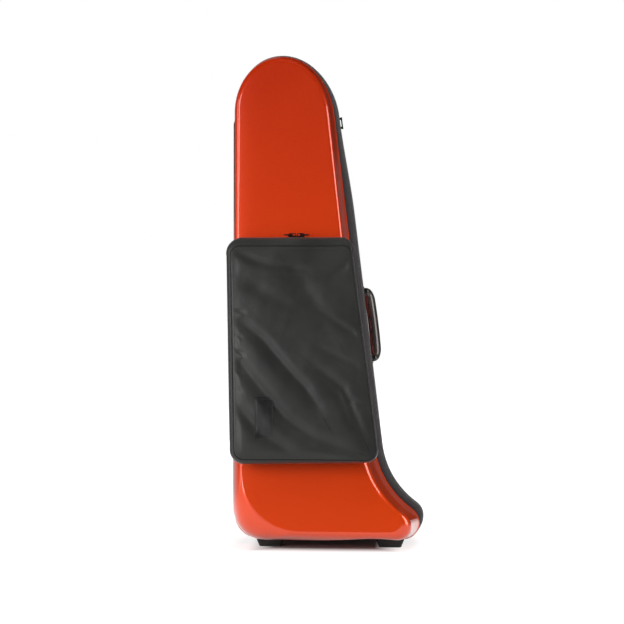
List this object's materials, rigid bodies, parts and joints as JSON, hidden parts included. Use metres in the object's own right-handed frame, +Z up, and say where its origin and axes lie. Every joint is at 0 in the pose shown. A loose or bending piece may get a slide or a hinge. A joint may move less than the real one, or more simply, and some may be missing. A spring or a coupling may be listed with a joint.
{
  "type": "trombone case",
  "caption": "Upright hard case for a trombone with bell: two glossy moulded shells joined by a zipped cloth band, fitted liners, side handle, sheet-music pocket and feet.",
  "frame": {"origin": "centre of the bounding box's bottom face, on the floor that the case stands on", "axes": "+Z up along the case, +X from the hinge side to the handle side, +Y from the lid with the pocket to the back"},
  "size_m": [0.3754, 0.3277, 0.9445],
  "materials": {
    "shell": "glossy pearl red-orange lacquer with a fine metallic fleck",
    "foam": "charcoal velour over moulded foam",
    "rubber": "black rubber, satin",
    "webbing": "black woven polyester tape",
    "zip_teeth": "black moulded teeth",
    "pocket_cloth": "grey-black coated cloth with a leather grain, crumpled",
    "grip": "dark padded grip in glossy covering",
    "steel": "plain steel",
    "black_metal": "black enamel"
  },
  "bodies": {
    "back_half": {"back_shell": "shell", "back_rim_seal": "rubber", "back_zip_tape": "webbing", "back_zip_chain": "zip_teeth", "back_hinge_leaf": "webbing", "back_liner": "foam", "neck_strap": "webbing", "mouthpiece_block": "foam", "foot_back_left": "rubber", "foot_back_right": "rubber", "rest_stud_1": "rubber", "rest_stud_2": "rubber", "rest_stud_3": "rubber", "rest_stud_4": "rubber", "strap_staple_upper_hand": "black_metal", "strap_staple_lower_hand": "black_metal", "strap_staple_upper_hinge": "black_metal", "strap_staple_lower_hinge": "black_metal", "handle_bracket_upper": "black_metal", "handle_pin_upper": "steel", "handle_bracket_lower": "black_metal", "handle_pin_lower": "steel"},
    "lid": {"lid_shell": "shell", "lid_rim_seal": "rubber", "lid_zip_tape": "webbing", "lid_zip_chain": "zip_teeth", "lid_hinge_leaf": "webbing", "lid_liner": "foam", "slide_rest_lower": "foam", "slide_rest_upper": "foam", "slide_strap_lower": "webbing", "slide_strap_upper": "webbing", "foot_front_left": "rubber", "foot_front_right": "rubber", "pocket_back_panel": "pocket_cloth", "pocket_wall_back": "pocket_cloth", "pocket_wall_foot": "pocket_cloth", "pocket_zip_back": "zip_teeth", "pocket_piping_foot": "pocket_cloth", "pocket_front_foot": "pocket_cloth"},
    "handle": {"handle_grip": "grip", "handle_core": "steel", "handle_end_upper": "black_metal", "handle_end_lower": "black_metal"},
    "zip_slider_up": {"zip_slider_upper": "black_metal"},
    "zip_slider_down": {"zip_slider_lower": "black_metal"},
    "zip_pull_up": {"zip_pull_upper": "black_metal"},
    "zip_pull_down": {"zip_pull_lower": "black_metal"},
    "pocket_flap": {"pocket_front_panel": "pocket_cloth", "pocket_wall_front": "pocket_cloth", "pocket_zip_front": "zip_teeth", "pocket_piping": "pocket_cloth", "pocket_patch": "pocket_cloth"},
    "pocket_slider_l": {"pocket_slider_left": "black_metal"},
    "pocket_slider_r": {"pocket_slider_right": "black_metal"},
    "pocket_pull_l": {"pocket_pull_left": "black_metal"},
    "pocket_pull_r": {"pocket_pull_right": "black_metal"}
  },
  "joints": [
    {"name": "lid_hinge", "type": "hinge", "parent": "back_half", "child": "lid", "pos_m": [-0.179, 0.01604, 0], "axis": [0, 0, -1], "range_deg": [0, 170]},
    {"name": "handle_swing", "type": "hinge", "parent": "back_half", "child": "handle", "pos_m": [0.0738, 0.05353, 0.41997], "axis": [0.1208, 0, -0.9927], "range_deg": [-22, 78]},
    {"name": "zip_run_up", "type": "slide", "parent": "back_half", "child": "zip_slider_up", "axis": [-0.1208, 0, 0.9927], "range_m": [0, 0.21]},
    {"name": "zip_run_down", "type": "slide", "parent": "back_half", "child": "zip_slider_down", "axis": [0.1208, 0, -0.9927], "range_m": [0, 0.178]},
    {"name": "zip_pull_up_swing", "type": "hinge", "parent": "zip_slider_up", "child": "zip_pull_up", "pos_m": [0.08438, 0.01604, 0.42906], "axis": [0, 1, 0], "range_deg": [0, 90]},
    {"name": "zip_pull_down_swing", "type": "hinge", "parent": "zip_slider_down", "child": "zip_pull_down", "pos_m": [0.08625, 0.01604, 0.41368], "axis": [0, -1, 0], "range_deg": [0, 90]},
    {"name": "pocket_flap_hinge", "type": "hinge", "parent": "lid", "child": "pocket_flap", "pos_m": [-0.1767, -0.16132, 0.20738], "axis": [1, 0, 0], "range_deg": [0, 115]},
    {"name": "pocket_zip_run_left", "type": "slide", "parent": "lid", "child": "pocket_slider_l", "axis": [-1, 0, 0], "range_m": [0, 0.085]},
    {"name": "pocket_zip_run_right", "type": "slide", "parent": "lid", "child": "pocket_slider_r", "axis": [1, 0, 0], "range_m": [0, 0.066]},
    {"name": "pocket_pull_left_swing", "type": "hinge", "parent": "pocket_slider_l", "child": "pocket_pull_l", "pos_m": [-0.05645, -0.1045, 0.59182], "axis": [0, 0.9961, -0.0879], "range_deg": [0, 90]},
    {"name": "pocket_pull_right_swing", "type": "hinge", "parent": "pocket_slider_r", "child": "pocket_pull_r", "pos_m": [-0.04095, -0.1045, 0.59182], "axis": [0, -0.9961, 0.0879], "range_deg": [0, 90]}
  ]
}
